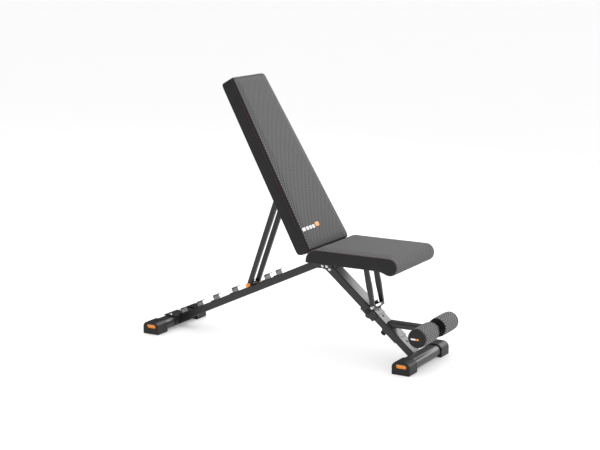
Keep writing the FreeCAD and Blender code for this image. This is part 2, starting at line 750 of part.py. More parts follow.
def make_seat():
    """The fixed seat: pad, board, tube, tabs, screws and the two flattened struts."""
    foot_x, foot_z = world(LEG_FRAME, size("strut_down"), size("strut_rise"))
    top_x = size("strut_top_x")
    centre_z = seat_tube_z()
    middle_x = 0.5 * (foot_x + top_x)
    middle_z = 0.5 * (foot_z + centre_z)
    circles = [(top_x, centre_z, 8.5), (middle_x, middle_z, 11.0), (foot_x, foot_z, 7.5)]
    struts = []
    for side in (-1, 1):
        low, high = side_span(side, size("strut_inner"), size("strut_inner") + size("strut_thick"))
        strut = solid(tapered_link(circles, low, high))
        holes = [("bolt_radius + bolt_gap", top_x, centre_z), ("strut_rod_radius + bolt_gap", foot_x, foot_z)]
        struts.append(drilled(strut, *holes))
    keep(group(*struts), "seat_struts")
    spine = tube("seat_tube_wide", "seat_tube_deep", "seat_tube_start", "seat_tube_end", z=centre_z)
    keep(drilled(spine, ("bolt_radius + bolt_gap", "seat_bolt_x", seat_bolt_z()),
                 ("bolt_radius + bolt_gap", top_x, centre_z)), "seat_tube")
    make_seat_top()


def make_seat_top():
    """Seat pad with its rolled front edge, the board in it, tabs and screws."""
    slab = bar("seat_wide", "seat_top - seat_floor", "seat_nose_x - seat_rear", 0.5, 0.5)
    moved(slab, x="seat_rear", z="(seat_top + seat_floor) / 2")
    nose = rod_y("seat_nose_radius", "-seat_wide / 2", "seat_wide / 2", "seat_nose_x", "seat_nose_z")
    corner_block = box("seat_rear_corner", "seat_wide + 2", "seat_rear_corner + 1", x="seat_rear - 0.01",
                       y="-seat_wide / 2 - 1", z="seat_top - seat_rear_corner")
    corner_round = rod_y("seat_rear_corner", "-seat_wide / 2 - 1", "seat_wide / 2 + 1",
                         "seat_rear + seat_rear_corner", "seat_top - seat_rear_corner")
    room = box("seat_nose_x - seat_rear - 30", "seat_wide - 2 * seat_board_inset + 0.4", "board_thick + 1.2",
               x="seat_rear + 9.8", y="-seat_wide / 2 + seat_board_inset - 0.2", z="seat_floor - 1")
    body = cut(fuse(slab, nose), cut(corner_block, corner_round), room)
    keep(body, "seat_pad")
    board = box("seat_nose_x - seat_rear - 30.4", "seat_wide - 2 * seat_board_inset", "board_thick",
                x="seat_rear + 10", y="-seat_wide / 2 + seat_board_inset", z="seat_floor")
    tabs = []
    screws = []
    holes = []
    for x in (200.0, 380.0):
        for side in (-1, 1):
            low, high = side_span(side, size("seat_tube_wide") / 2, 70)
            tabs.append(cut(box(30, high - low, 4, x=x - 15, y=low, z="seat_floor - 4"),
                            rod_z(3, 300, 400, x, side * 55)))
            screws.append(fuse(rod_z(6, "seat_floor - 7", "seat_floor - 4", x, side * 55),
                               rod_z(3, "seat_floor - 5", "seat_floor + 9", x, side * 55)))
            holes.append(rod_z(3, "seat_floor - 1", "seat_floor + 9", x, side * 55))
    keep(cut(board, *holes), "seat_board")
    keep(group(*tabs), "seat_tabs")
    keep(group(*screws), "seat_screws")


def make_backrest():
    """The hinged backrest: pad, board, tube, hinge plates, tabs and screws."""
    def across_y(edge):
        ends = [vertex.Point for vertex in edge.Vertexes]
        return len(ends) == 2 and abs(ends[1].y - ends[0].y) > 100
    slab = bar("back_wide_low", "back_thick", "back_long", 0.5, 0.5)
    round_edges(slab, "back_corner", across_y)
    moved(slab, z="back_thick / 2")
    outline = wedge_slab(0, "back_long", "back_wide_low", "back_wide_high", 0, "back_thick")
    room = wedge_slab("board_inset - 0.2", "back_long - board_inset + 0.2",
                      "back_wide_low - 2 * board_inset + 0.4", "back_wide_high - 2 * board_inset + 0.4",
                      "back_thick - board_thick - 0.2", "back_thick + 1")
    keep(cut(shared(slab, outline), room), "backrest_pad", BACK_FRAME)
    board = wedge_slab("board_inset", "back_long - board_inset", "back_wide_low - 2 * board_inset",
                       "back_wide_high - 2 * board_inset", "back_thick - board_thick", "back_thick")
    tube_z = "back_thick + back_tube_deep / 2"
    spine = tube("back_tube_wide", "back_tube_deep", "back_tube_start", "back_tube_end", z=tube_z)
    keep(drilled(spine, ("prop_bolt_radius + bolt_gap", "prop_bolt_up", tube_z)), "backrest_tube", BACK_FRAME)
    plugs = []
    for face_x, stem_x in (("back_tube_end", "back_tube_end - 14.5"),
                           ("back_tube_start - 3", "back_tube_start - 0.5")):
        face = moved(bar("back_tube_wide", "back_tube_deep", 3, 2.9, 2.9), x=face_x, z=tube_z)
        stem = moved(bar("back_tube_wide - 4.2", "back_tube_deep - 4.2", 15, 0.9, 0.9), x=stem_x, z=tube_z)
        plugs.append(fuse(face, stem))
    keep(group(*plugs), "backrest_end_plugs", BACK_FRAME)
    tabs = []
    screws = []
    holes = []
    for x in (120.0, 480.0):
        for side in (-1, 1):
            low, high = side_span(side, size("back_tube_wide") / 2 + 4.5, 90)
            tab_low, tab_high = side_span(side, size("back_tube_wide") / 2, 90)
            if x < size("hinge_plate_end") + 30:
                tab_low, tab_high = low, high
            tabs.append(cut(box(34, tab_high - tab_low, 4, x=x - 17, y=tab_low, z="back_thick"),
                            rod_z(3, 0, 100, x, side * 70)))
            screws.append(fuse(rod_z(6, "back_thick + 4", "back_thick + 7", x, side * 70),
                               rod_z(3, "back_thick - 9", "back_thick + 5", x, side * 70)))
            holes.append(rod_z(3, "back_thick - 9", "back_thick + 5", x, side * 70))
    keep(cut(board, *holes), "backrest_board", BACK_FRAME)
    keep(group(*tabs), "backrest_tabs", BACK_FRAME)
    keep(group(*screws), "backrest_screws", BACK_FRAME)
    make_hinge_plates()


def make_hinge_plates():
    """Two cranked plates from the backrest tube down to the hinge bolt."""
    hinge_x, hinge_z = local(BACK_FRAME, size("hinge_x"), size("hinge_z"))
    level = size("back_thick") + 13.0
    circles = [(hinge_x, hinge_z, 10.0), (size("hinge_plate_start"), level, 10.0),
               (size("hinge_plate_end"), level, 10.0)]
    inner = size("back_tube_wide") / 2
    plates = []
    for side in (-1, 1):
        low, high = side_span(side, inner, inner + size("cheek_plate"))
        plate = solid(tapered_link(circles, low, high))
        plates.append(drilled(plate, ("hinge_radius + bolt_gap", hinge_x, hinge_z)))
    keep(group(*plates), "hinge_plates", BACK_FRAME)


def prop_points():
    """Upper bolt and lower rod of the prop, in bench coordinates."""
    top = world(BACK_FRAME, size("prop_bolt_up"), size("back_thick") + size("back_tube_deep") / 2)
    foot = world(RAIL_FRAME, -size("prop_rod_down"), size("prop_rod_radius"))
    return top, foot


def make_prop():
    """The two prop legs, their bolt, rod ends and coloured end caps."""
    top, foot = prop_points()
    inner = size("prop_inner")
    outer = inner + size("prop_thick")
    circles = [top + (11.0,), foot + (size("prop_edge"),)]
    legs = []
    for side in (-1, 1):
        low, high = side_span(side, inner, outer)
        leg = solid(tapered_link(circles, low, high))
        holes = [("prop_bolt_radius + bolt_gap",) + top, ("prop_rod_radius",) + foot]
        legs.append(drilled(leg, *holes))
    keep(group(*legs), "prop_legs")
    ends = []
    caps = []
    for side in (-1, 1):
        low, high = side_span(side, 20.6, size("prop_cap_end") - 2)
        ends.append(rod_y("prop_rod_radius", low, high, foot[0], foot[1]))
        low, high = side_span(side, outer, size("prop_cap_end") - 1.5)
        hollow_low, hollow_high = side_span(side, 20.0, size("prop_cap_end") - 2)
        crown = DOC.addObject("Part::Cone", "Crown")
        crown.Placement.Rotation = FreeCAD.Rotation(FreeCAD.Vector(1, 0, 0), -90 * side)
        bind(crown, Radius1="prop_cap_radius", Radius2="prop_cap_radius - 1.5", Height=1.5)
        moved(crown, x=foot[0], y=side * (size("prop_cap_end") - 1.5), z=foot[1])
        shell = fuse(rod_y("prop_cap_radius", low, high, foot[0], foot[1]), crown)
        caps.append(cut(shell, rod_y("prop_rod_radius", hollow_low, hollow_high, foot[0], foot[1])))
    keep(group(*ends), "prop_rod_ends")
    keep(group(*caps), "prop_end_caps")
    keep(side_bolt("prop_bolt_radius", 8.5, top[0], top[1], outer), "prop_bolt")
    keep(side_nut("prop_bolt_radius", 9, top[0], top[1], outer), "prop_nut")


def make_foot_holder():
    """The sleeve on the lower leg, its arm, the roller bar and the bar's rings."""
    sleeve = tube("leg_wide", "leg_deep", "holder_start", "holder_end")
    pin_hole = rod_z("pin_radius + 0.3", -40, 0, "pin_down + 2 * hole_pitch", 0)
    keep(cut(sleeve, pin_hole), "holder_sleeve", LEG_FRAME)
    arm = tube("arm_wide", "arm_deep", "arm_start", "arm_end", z="arm_z")
    block = bar("leg_wide", "leg_deep", "holder_end - holder_start + 50", "tube_corner", "tube_corner")
    shift = FreeCAD.Placement(FreeCAD.Vector(size("holder_start") - 30, 0, 0), FreeCAD.Rotation())
    block.Placement = LEG_FRAME.multiply(shift)
    keep(cut(arm, block, rod_y("bar_radius", -60, 60, "roller_x", "roller_z")), "holder_arm")
    plug_face = moved(bar("arm_wide", "arm_deep", 3, 2.9, 2.9), x="arm_end", z="arm_z")
    keep(plug_face, "arm_end_plug")
    keep(rod_y("bar_radius", "-bar_half", "bar_half", "roller_x", "roller_z"), "roller_bar")
    rings = []
    for side in (-1, 1):
        low, high = side_span(side, size("bar_half") - 1.8, size("bar_half") - 0.4)
        rings.append(ring_y(10.6, "bar_radius", low, high, "roller_x", "roller_z"))
    keep(group(*rings), "roller_retainers")


def make_roller(side, name):
    """One foot roller: core tube, foam sleeve and the two end discs."""
    def ring(outer, inner, near, far):
        low, high = side_span(side, value(near), value(far))
        return ring_y(outer, inner, low, high, "roller_x", "roller_z")
    keep(ring("core_radius", "bar_radius + bolt_gap", "arm_wide / 2 + 0.6", "roller_outer + 0.5"),
         "roller_core_" + name)
    keep(ring("foam_radius", "core_radius", "roller_inner + disc_thick", "roller_outer"), "roller_foam_" + name)
    inner_disc = ring("disc_radius", "core_radius", "roller_inner", "roller_inner + disc_thick")
    low, high = side_span(side, size("roller_outer"), value("roller_outer + disc_thick"))
    plate = rod_y("disc_radius", low, high, "roller_x", "roller_z")
    low, high = side_span(side, value("roller_outer - 1"), value("roller_outer + disc_thick - 2.2"))
    hollow = rod_y("core_radius", low, high, "roller_x", "roller_z")
    low, high = side_span(side, value("roller_outer + disc_thick - 1"), value("roller_outer + disc_thick + 1"))
    groove = ring_y(27, 24, low, high, "roller_x", "roller_z")
    dish = rod_y(14, low, high, "roller_x", "roller_z")
    keep(group(inner_disc, cut(plate, hollow, groove, dish)), "roller_discs_" + name)


def build():
    """Make every sub-part."""
    make_base("rear", size("rear_base_x"), (-35, 35))
    make_base("front", size("front_base_x"))
    make_rail()
    make_saddle()
    make_pivot_bracket()
    make_frame_bolts()
    make_spacers()
    make_upper_leg()
    make_collar()
    make_pull_pin("leg", "pin_down", "leg_deep / 2 + collar_floor", 5, LEG_FRAME)
    make_lower_leg()
    make_strut_bracket()
    make_seat()
    make_backrest()
    make_prop()
    make_foot_holder()
    make_pull_pin("holder", "pin_down + 2 * hole_pitch", "leg_deep / 2", 11, LEG_FRAME)
    make_roller(-1, "right")
    make_roller(1, "left")
    DOC.recompute()


def check_and_write():
    """Refuse a failed or broken shape, then write one STEP file per sub-part."""
    for item in DOC.Objects:
        if "Invalid" in item.State or "Error" in item.State:
            raise RuntimeError("%s failed: %s" % (item.Label, item.State))
    for item in SUB_PARTS:
        if item.Shape.isNull() or not item.Shape.isValid():
            raise RuntimeError("%s has a broken shape" % item.Label)
    os.makedirs("parts", exist_ok=True)
    for item in SUB_PARTS:
        item.Shape.exportStep("parts/%s.step" % item.Label)


build()
check_and_write()
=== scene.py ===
import bmesh
import bpy
import json
import math
from mathutils import Matrix, Vector
from mathutils.bvhtree import BVHTree


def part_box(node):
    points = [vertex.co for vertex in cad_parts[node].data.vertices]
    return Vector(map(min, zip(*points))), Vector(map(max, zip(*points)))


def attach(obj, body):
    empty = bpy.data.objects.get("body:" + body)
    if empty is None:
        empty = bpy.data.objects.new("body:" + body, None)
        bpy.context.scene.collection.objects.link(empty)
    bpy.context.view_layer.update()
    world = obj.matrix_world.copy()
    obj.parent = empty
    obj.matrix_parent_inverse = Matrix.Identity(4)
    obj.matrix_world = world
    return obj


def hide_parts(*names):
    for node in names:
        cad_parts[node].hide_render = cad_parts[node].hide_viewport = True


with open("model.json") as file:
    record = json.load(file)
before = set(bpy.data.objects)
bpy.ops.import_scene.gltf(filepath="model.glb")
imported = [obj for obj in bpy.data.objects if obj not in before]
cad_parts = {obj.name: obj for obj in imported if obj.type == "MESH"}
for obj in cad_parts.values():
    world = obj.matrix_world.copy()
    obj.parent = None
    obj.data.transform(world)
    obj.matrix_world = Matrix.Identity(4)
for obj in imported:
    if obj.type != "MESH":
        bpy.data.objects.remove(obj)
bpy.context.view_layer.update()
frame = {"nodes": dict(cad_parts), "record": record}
NODES = frame["nodes"]
MM = 0.001


# ---------------------------------------------------------------- materials

def new_material(name):
    """A node material with its tree and its Principled shader."""
    mat = bpy.data.materials.new(name)
    mat.use_nodes = True
    return mat, mat.node_tree, mat.node_tree.nodes["Principled BSDF"]


def add(tree, kind, inputs=(), **settings):
    """One shader node; inputs maps socket names or indices to values or sockets."""
    made = tree.nodes.new(kind)
    for key, setting in settings.items():
        setattr(made, key, setting)
    for key, given in dict(inputs).items():
        if isinstance(given, bpy.types.NodeSocket):
            tree.links.new(given, made.inputs[key])
        else:
            made.inputs[key].default_value = given
    return made


def calc(tree, operation, first, second=0.0, third=0.0):
    """The output of a Math node."""
    made = add(tree, "ShaderNodeMath", {0: first, 1: second, 2: third}, operation=operation)
    return made.outputs[0]


def blend_colour(tree, factor, dark, light):
    """A colour between two, by a factor."""
    mix = add(tree, "ShaderNodeMix", {0: factor, 6: dark, 7: light}, data_type="RGBA")
    return mix.outputs[2]


def noise_of(tree, vector, scale, detail=3.0, rough=0.5):
    """Value of a noise texture."""
    made = add(tree, "ShaderNodeTexNoise",
               {"Vector": vector, "Scale": scale, "Detail": detail, "Roughness": rough})
    return made.outputs[0]


def grey(level, warm=0.0):
    """An opaque near-neutral colour."""
    return (level * (1 + warm), level, level * (1 - warm), 1.0)


def bumped(tree, bsdf, height, strength, distance, normal=None):
    """Drive the shader's normal from a height."""
    inputs = {"Height": height, "Strength": strength, "Distance": distance}
    if normal is not None:
        inputs["Normal"] = normal
    bump = add(tree, "ShaderNodeBump", inputs)
    tree.links.new(bump.outputs[0], bsdf.inputs["Normal"])


def soft_edges(tree, radius):
    """A normal that rounds hard edges, and a mask of those edges."""
    bevel = add(tree, "ShaderNodeBevel", {"Radius": radius}, samples=4)
    geometry = add(tree, "ShaderNodeNewGeometry")
    dot = add(tree, "ShaderNodeVectorMath", {0: bevel.outputs[0], 1: geometry.outputs["Normal"]},
              operation="DOT_PRODUCT")
    spread = {"Value": dot.outputs["Value"], "From Min": 0.995, "From Max": 0.88,
              "To Min": 0.0, "To Max": 1.0}
    edge = add(tree, "ShaderNodeMapRange", spread)
    return bevel.outputs[0], edge.outputs[0]


def powder_coat(name, level, rough):
    """Satin powder coating: fine orange peel, faint mottling and rubbed edges."""
    mat, tree, bsdf = new_material(name)
    place = add(tree, "ShaderNodeTexCoord").outputs["Object"]
    normal, edge = soft_edges(tree, 1.1 * MM)
    mottle = noise_of(tree, place, 38.0, 4.0)
    peel = noise_of(tree, place, 1500.0, 2.0)
    rub = calc(tree, "MULTIPLY", edge, noise_of(tree, place, 160.0, 4.0, 0.7))
    base = blend_colour(tree, mottle, grey(level * 0.86), grey(level * 1.14))
    worn = blend_colour(tree, calc(tree, "MULTIPLY", rub, 0.55), base, grey(level * 4.0 + 0.05))
    tree.links.new(worn, bsdf.inputs["Base Color"])
    fleck = calc(tree, "MULTIPLY_ADD", mottle, 0.12, rough - 0.06)
    tree.links.new(calc(tree, "MULTIPLY_ADD", peel, 0.08, fleck), bsdf.inputs["Roughness"])
    bsdf.inputs["Specular IOR Level"].default_value = 0.5
    bsdf.inputs["Coat Weight"].default_value = 0.08
    bsdf.inputs["Coat Roughness"].default_value = 0.3
    bumped(tree, bsdf, peel, 0.22, 0.35 * MM, normal)
    return mat


def moulded(name, colour, rough, grain=0.3):
    """Moulded plastic with a fine spark-eroded grain."""
    mat, tree, bsdf = new_material(name)
    place = add(tree, "ShaderNodeTexCoord").outputs["Object"]
    normal, edge = soft_edges(tree, 1.6 * MM)
    cells = add(tree, "ShaderNodeTexVoronoi", {"Vector": place, "Scale": 900.0}).outputs[0]
    tone = noise_of(tree, place, 22.0, 4.0)
    dark = tuple(part * 0.88 for part in colour[:3]) + (1.0,)
    light = tuple(min(1.0, part * 1.12) for part in colour[:3]) + (1.0,)
    scuffed = tuple(min(1.0, part * 1.5 + 0.02) for part in colour[:3]) + (1.0,)
    base = blend_colour(tree, tone, dark, light)
    scuff = calc(tree, "MULTIPLY", edge, noise_of(tree, place, 240.0, 3.0, 0.7))
    worn = blend_colour(tree, calc(tree, "MULTIPLY", scuff, 0.4), base, scuffed)
    tree.links.new(worn, bsdf.inputs["Base Color"])
    tree.links.new(calc(tree, "MULTIPLY_ADD", cells, 0.12, rough - 0.06), bsdf.inputs["Roughness"])
    bsdf.inputs["Specular IOR Level"].default_value = 0.35
    bumped(tree, bsdf, cells, grain, 0.25 * MM, normal)
    return mat


def plated_steel(name):
    """Zinc-plated steel with fine turning marks."""
    mat, tree, bsdf = new_material(name)
    place = add(tree, "ShaderNodeTexCoord").outputs["Object"]
    stretched = add(tree, "ShaderNodeMapping", {"Vector": place, "Scale": (900.0, 60.0, 900.0)}).outputs[0]
    marks = noise_of(tree, stretched, 1.0, 3.0, 0.6)
    cloud = noise_of(tree, place, 120.0, 3.0)
    normal, _ = soft_edges(tree, 0.7 * MM)
    tree.links.new(blend_colour(tree, cloud, grey(0.62, 0.01), grey(0.8, -0.01)), bsdf.inputs["Base Color"])
    bsdf.inputs["Metallic"].default_value = 1.0
    tree.links.new(calc(tree, "MULTIPLY_ADD", marks, 0.18, 0.2), bsdf.inputs["Roughness"])
    bumped(tree, bsdf, marks, 0.12, 0.1 * MM, normal)
    return mat


def knitted(name, dark, light, cell, sheen):
    """Diamond-knit mesh fabric laid out by the piece's own cloth coordinates."""
    mat, tree, bsdf = new_material(name)
    cloth = add(tree, "ShaderNodeAttribute", attribute_name="cloth").outputs["Vector"]
    parts = add(tree, "ShaderNodeSeparateXYZ", {0: cloth})
    along, across = parts.outputs[0], parts.outputs[1]
    turn = math.pi / cell
    waves = []
    for direction in ("ADD", "SUBTRACT"):
        phase = calc(tree, "MULTIPLY", calc(tree, direction, along, across), turn)
        waves.append(calc(tree, "ABSOLUTE", calc(tree, "SINE", phase)))
    diamond = calc(tree, "POWER", calc(tree, "MULTIPLY", waves[0], waves[1]), 1.6)
    yarn = noise_of(tree, cloth, 1800.0, 2.0)
    shade = noise_of(tree, cloth, 26.0, 5.0, 0.65)
    mixed = calc(tree, "MULTIPLY_ADD", yarn, 0.2, calc(tree, "MULTIPLY", diamond, 0.95))
    base = blend_colour(tree, mixed, grey(dark), grey(light))
    streak_place = add(tree, "ShaderNodeMapping", {"Vector": cloth, "Scale": (60.0, 420.0, 60.0)}).outputs[0]
    streak = noise_of(tree, streak_place, 1.0, 3.0, 0.6)
    fade = calc(tree, "MULTIPLY_ADD", streak, 0.4, calc(tree, "MULTIPLY_ADD", shade, 0.25, -0.18))
    cloudy = blend_colour(tree, fade, base, grey(light * 0.4))
    tree.links.new(cloudy, bsdf.inputs["Base Color"])
    bsdf.inputs["Roughness"].default_value = 0.88
    bsdf.inputs["Specular IOR Level"].default_value = 0.25
    bsdf.inputs["Sheen Weight"].default_value = sheen
    bsdf.inputs["Sheen Roughness"].default_value = 0.45
    height = calc(tree, "MULTIPLY_ADD", yarn, 0.3, diamond)
    bumped(tree, bsdf, height, 0.55, 0.5 * MM)
    return mat


def side_cloth(name, level):
    """Dark coated cloth of the side panels: fine grain, a little sheen."""
    mat, tree, bsdf = new_material(name)
    place = add(tree, "ShaderNodeTexCoord").outputs["Object"]
    weave = add(tree, "ShaderNodeTexVoronoi", {"Vector": place, "Scale": 620.0}, feature="DISTANCE_TO_EDGE")
    grain = weave.outputs[0]
    shade = noise_of(tree, place, 18.0, 4.0)
    base = blend_colour(tree, shade, grey(level * 0.85), grey(level * 1.18))
    tree.links.new(base, bsdf.inputs["Base Color"])
    tree.links.new(calc(tree, "MULTIPLY_ADD", shade, 0.12, 0.58), bsdf.inputs["Roughness"])
    bsdf.inputs["Specular IOR Level"].default_value = 0.22
    bsdf.inputs["Sheen Weight"].default_value = 0.04
    bumped(tree, bsdf, calc(tree, "MULTIPLY", grain, 6.0), 0.35, 0.3 * MM)
    return mat


def thread(name, colour):
    """Twisted sewing thread."""
    mat, tree, bsdf = new_material(name)
    place = add(tree, "ShaderNodeTexCoord").outputs["Object"]
    wave = add(tree, "ShaderNodeTexWave", {"Vector": place, "Scale": 700.0, "Distortion": 1.5}).outputs[0]
    darker = tuple(part * 0.6 for part in colour[:3]) + (1.0,)
    tree.links.new(blend_colour(tree, wave, darker, colour), bsdf.inputs["Base Color"])
    bsdf.inputs["Roughness"].default_value = 0.6
    bumped(tree, bsdf, wave, 0.4, 0.1 * MM)
    return mat


def painted_board(name):
    """Black-stained plywood: long faint grain under a matt coat."""
    mat, tree, bsdf = new_material(name)
    place = add(tree, "ShaderNodeTexCoord").outputs["Object"]
    grain_place = add(tree, "ShaderNodeMapping", {"Vector": place, "Scale": (9.0, 160.0, 9.0)}).outputs[0]
    grain = noise_of(tree, grain_place, 2.0, 6.0, 0.6)
    normal, _ = soft_edges(tree, 1.5 * MM)
    tree.links.new(blend_colour(tree, grain, grey(0.012, 0.05), grey(0.03, 0.08)), bsdf.inputs["Base Color"])
    tree.links.new(calc(tree, "MULTIPLY_ADD", grain, 0.2, 0.55), bsdf.inputs["Roughness"])
    bumped(tree, bsdf, grain, 0.3, 0.3 * MM, normal)
    return mat


def studio_floor(name):
    """Pale seamless studio floor."""
    mat, tree, bsdf = new_material(name)
    place = add(tree, "ShaderNodeTexCoord").outputs["Object"]
    tone = noise_of(tree, place, 3.0, 3.0)
    tree.links.new(blend_colour(tree, tone, grey(0.93), grey(0.95)), bsdf.inputs["Base Color"])
    bsdf.inputs["Roughness"].default_value = 0.8
    bsdf.inputs["Specular IOR Level"].default_value = 0.1
    return mat


PAINT = powder_coat("charcoal_powder_coat", 0.012, 0.30)
CAP = moulded("black_moulded_plastic", (0.009, 0.0092, 0.0097), 0.45)
ORANGE = moulded("orange_moulded_plastic", (0.95, 0.30, 0.045), 0.38, 0.15)
STEEL = plated_steel("bright_zinc_plate")
FACE = knitted("grey_diamond_knit", 0.014, 0.25, 11.6 * MM, 0.05)
FOAM = knitted("grey_roller_knit", 0.02, 0.3, 11.47 * MM, 0.04)
SIDE = side_cloth("black_side_cloth", 0.017)
THREAD = thread("rust_thread", (0.2, 0.05, 0.035, 1.0))
BOARD = painted_board("black_board")
PRINT = moulded("white_print", (0.8, 0.8, 0.8), 0.6, 0.1)

SLOT_MATERIAL = {"dark_paint": PAINT, "cap_plastic": CAP, "orange_plastic": ORANGE, "bolt_steel": STEEL,
                 "upholstery": SIDE, "board": BOARD, "foam": FOAM}


def dress_cad_nodes():
    """Give every CAD node the detailed material of its slot."""
    for entry in frame["record"]["subparts"]:
        node = NODES[entry["node"]]
        node.data.materials.clear()
        node.data.materials.append(SLOT_MATERIAL[entry["material_slot"]])


# ---------------------------------------------------------------- mesh helpers

def mesh_object(name, verts, faces, materials, face_slots=None, cloth=None, smooth=True):
    """A mesh object from plain lists, with optional cloth coordinates."""
    mesh = bpy.data.meshes.new(name)
    mesh.from_pydata(verts, [], faces)
    for mat in materials:
        mesh.materials.append(mat)
    if face_slots is not None:
        mesh.polygons.foreach_set("material_index", face_slots)
    mesh.polygons.foreach_set("use_smooth", [smooth] * len(mesh.polygons))
    if cloth is not None:
        layer = mesh.attributes.new("cloth", "FLOAT_VECTOR", "POINT")
        layer.data.foreach_set("vector", [part for point in cloth for part in point])
    mesh.update()
    item = bpy.data.objects.new(name, mesh)
    bpy.context.scene.collection.objects.link(item)
    return item


def face_outwards(item):
    """Make every face of a closed mesh point outwards."""
    work = bmesh.new()
    work.from_mesh(item.data)
    bmesh.ops.recalc_face_normals(work, faces=work.faces)
    work.to_mesh(item.data)
    work.free()


def inflate(item, caps, pressure):
    """Blow the cover up by cloth simulation, holding vertices whose cap is zero.

    caps gives, for each vertex, how far in metres it may move from its start."""
    start = [vertex.co.copy() for vertex in item.data.vertices]
    held = item.vertex_groups.new(name="held")
    for index, cap in enumerate(caps):
        if cap == 0.0:
            held.add([index], 1.0, "REPLACE")
    cloth = item.modifiers.new("Inflate", "CLOTH")
    rules = cloth.settings
    rules.quality = 6
    rules.mass = 0.3
    rules.tension_stiffness = 12.0
    rules.compression_stiffness = 12.0
    rules.bending_stiffness = 0.6
    rules.use_pressure = True
    rules.uniform_pressure_force = pressure
    rules.vertex_group_mass = "held"
    rules.effector_weights.gravity = 0.0
    cloth.collision_settings.use_collision = False
    scene = bpy.context.scene
    for number in range(1, 21):
        scene.frame_set(number)
    evaluated = item.evaluated_get(bpy.context.evaluated_depsgraph_get())
    moved = [vertex.co.copy() for vertex in evaluated.data.vertices]
    scene.frame_set(1)
    item.modifiers.remove(cloth)
    item.vertex_groups.remove(held)
    for vertex, old, new, cap in zip(item.data.vertices, start, moved, caps):
        step = new - old
        if step.length > cap:
            step = step.normalized() * cap if cap else Vector()
        vertex.co = old + step
    item.data.update()


def subdivide(item, levels=1):
    """Smooth a cover with one applied subdivision."""
    modifier = item.modifiers.new("Smooth", "SUBSURF")
    modifier.levels = levels
    modifier.render_levels = levels
    modifier.boundary_smooth = "PRESERVE_CORNERS"
    evaluated = item.evaluated_get(bpy.context.evaluated_depsgraph_get())
    mesh = bpy.data.meshes.new_from_object(evaluated)
    item.modifiers.clear()
    old = item.data
    item.data = mesh
    mesh.name = item.name
    bpy.data.meshes.remove(old)


def steps(start, end, size):
    """Evenly spaced values from start to end, about size apart, ends included."""
    count = max(1, round(abs(end - start) / size))
    return [start + (end - start) * index / count for index in range(count + 1)]


# ---------------------------------------------------------------- backrest pad

BACK_ANGLE = math.radians(120.0)
BACK_CORNER = Vector((145.4, 0.0, 416.9)) * MM
BACK_U = Vector((math.cos(BACK_ANGLE), 0.0, math.sin(BACK_ANGLE)))
BACK_N = Vector((-math.sin(BACK_ANGLE), 0.0, math.cos(BACK_ANGLE)))
BACK_LONG = 725.6
BACK_THICK = 60.0
PAD_HALF = 160.0
TOP_SHARE = 118.0 / 160.0
OUTLINE_R = 20.0
FRONT_R = 10.0
REAR_R = 4.0
REAR_FOOT_R = 22.0
STITCH_DEPTH = 10.5


def back_point(u, y, n):
    """World position of a backrest point given in millimetres; y is the place across at the pad's foot."""
    across = y * (1.0 + (TOP_SHARE - 1.0) * u / BACK_LONG)
    return BACK_CORNER + BACK_U * (u * MM) + BACK_N * (n * MM) + Vector((0.0, across * MM, 0.0))


def clamp(number, low, high):
    return max(low, min(high, number))


def round_backrest(u, y, n):
    """Move a point of the plain box onto the rounded pad."""
    radius = FRONT_R if n < BACK_THICK * 0.5 else REAR_R
    inner = OUTLINE_R - radius
    core_u = clamp(u, OUTLINE_R, BACK_LONG - OUTLINE_R)
    core_y = clamp(y, -PAD_HALF + OUTLINE_R, PAD_HALF - OUTLINE_R)
    offset = Vector((u - core_u, y - core_y))
    if offset.length > inner:
        offset = offset.normalized() * inner
    core = Vector((core_u + offset.x, core_y + offset.y, clamp(n, radius, BACK_THICK - radius)))
    away = Vector((u, y, n)) - core
    if away.length > 1e-9:
        away = away.normalized() * radius
    point = core + away
    foot_n = BACK_THICK - REAR_FOOT_R
    if point.z > foot_n and point.x < REAR_FOOT_R:
        spot = Vector((point.x - REAR_FOOT_R, point.z - foot_n))
        if spot.length > REAR_FOOT_R:
            spot = spot.normalized() * REAR_FOOT_R
            point.x = REAR_FOOT_R + spot.x
            point.z = foot_n + spot.y
    return point


def box_surface(us, ys, ns):
    """Grid points and quads of the surface of a box with the given grid lines."""
    index = {}
    points = []

    def at(i, j, k):
        key = (i, j, k)
        if key not in index:
            index[key] = len(points)
            points.append((us[i], ys[j], ns[k]))
        return index[key]
    quads = []
    last_i, last_j, last_k = len(us) - 1, len(ys) - 1, len(ns) - 1
    for k, kind in ((0, "front"), (last_k, "back")):
        for i in range(last_i):
            for j in range(last_j):
                corners = (at(i, j, k), at(i + 1, j, k), at(i + 1, j + 1, k), at(i, j + 1, k))
                quads.append((corners, kind))
    for j in (0, last_j):
        for i in range(last_i):
            for k in range(last_k):
                corners = (at(i, j, k), at(i + 1, j, k), at(i + 1, j, k + 1), at(i, j, k + 1))
                quads.append((corners, "side"))
    for i in (0, last_i):
        for j in range(last_j):
            for k in range(last_k):
                corners = (at(i, j, k), at(i, j + 1, k), at(i, j + 1, k + 1), at(i, j, k + 1))
                quads.append((corners, "side"))
    return points, quads


def edge_lines(low, high, size):
    """Grid lines that get close together within the rounded edge."""
    near = [0.0, 3.0, 6.0, 10.0]
    return ([low + gap for gap in near] + steps(low + 10.0, high - 10.0, size)[1:-1]
            + [high - gap for gap in reversed(near)])


